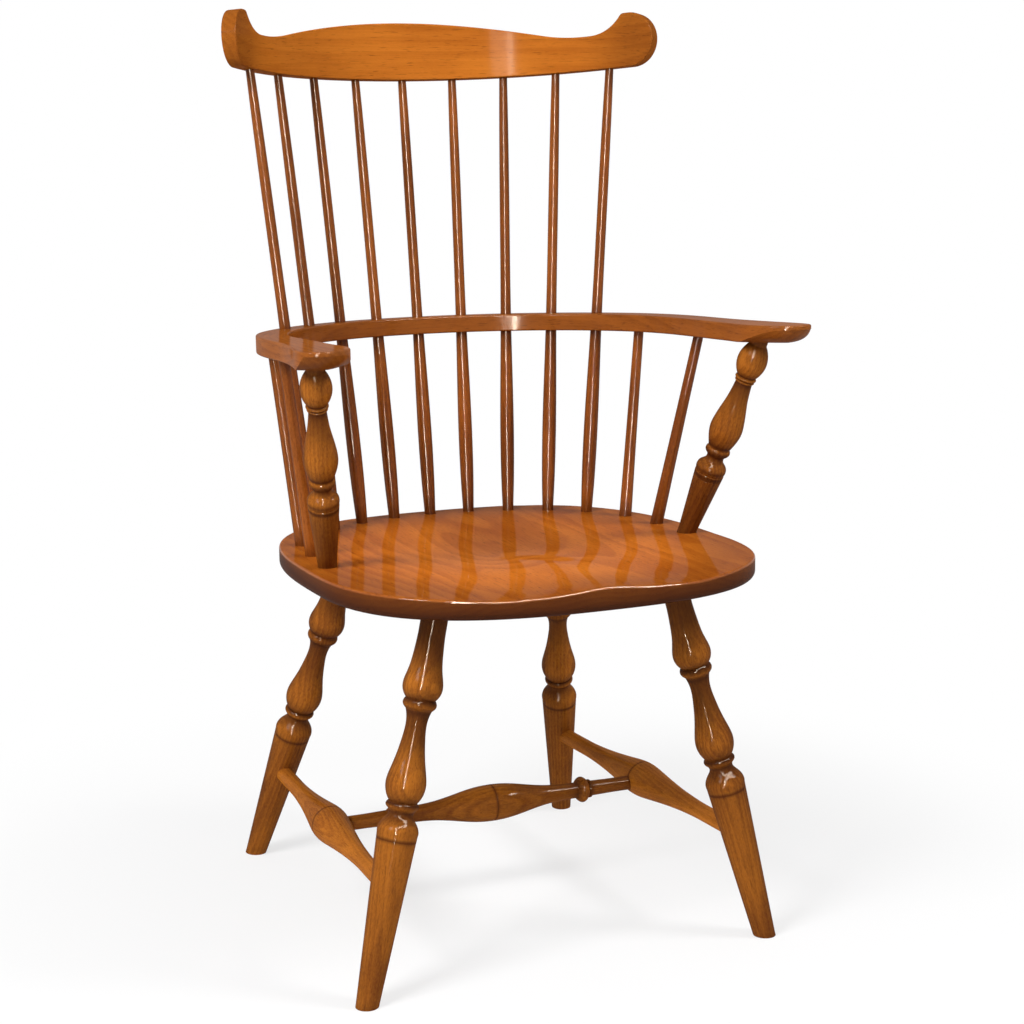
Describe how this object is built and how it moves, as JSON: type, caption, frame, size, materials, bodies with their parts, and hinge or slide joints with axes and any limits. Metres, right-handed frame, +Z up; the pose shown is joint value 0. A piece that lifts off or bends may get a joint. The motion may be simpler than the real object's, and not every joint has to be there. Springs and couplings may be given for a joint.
{
  "type": "spindle back armchair",
  "caption": "Comb-back wooden armchair with a saddle seat, splayed turned legs joined by an H stretcher, a bent arm bow with paddle hands, tapered spindles and an eared top rail.",
  "frame": {"origin": "on the floor, under the middle of the chair's overall width and depth", "axes": "+Z up, -Y the way the sitter faces, +X the sitter's left"},
  "size_m": [0.6062, 0.6132, 1.0654],
  "materials": {
    "seat_wood": "clear gloss lacquer over an amber-brown stain",
    "turned_wood": "clear gloss lacquer over an amber-brown stain",
    "spindle_wood": "clear gloss lacquer over an amber-brown stain",
    "bent_wood": "clear gloss lacquer over an amber-brown stain"
  },
  "bodies": {
    "root": {"seat": "seat_wood", "leg_front_left": "turned_wood", "leg_front_right": "turned_wood", "leg_rear_left": "turned_wood", "leg_rear_right": "turned_wood", "side_stretcher_left": "turned_wood", "side_stretcher_right": "turned_wood", "cross_stretcher": "turned_wood", "arm_post_left": "turned_wood", "arm_post_right": "turned_wood", "long_spindle_1": "spindle_wood", "long_spindle_2": "spindle_wood", "long_spindle_3": "spindle_wood", "long_spindle_4": "spindle_wood", "long_spindle_5": "spindle_wood", "long_spindle_6": "spindle_wood", "long_spindle_7": "spindle_wood", "long_spindle_8": "spindle_wood", "long_spindle_9": "spindle_wood", "short_spindle_left_rear": "spindle_wood", "short_spindle_left_front": "spindle_wood", "short_spindle_right_rear": "spindle_wood", "short_spindle_right_front": "spindle_wood", "arm_rail": "bent_wood", "comb": "bent_wood"}
  },
  "joints": []
}
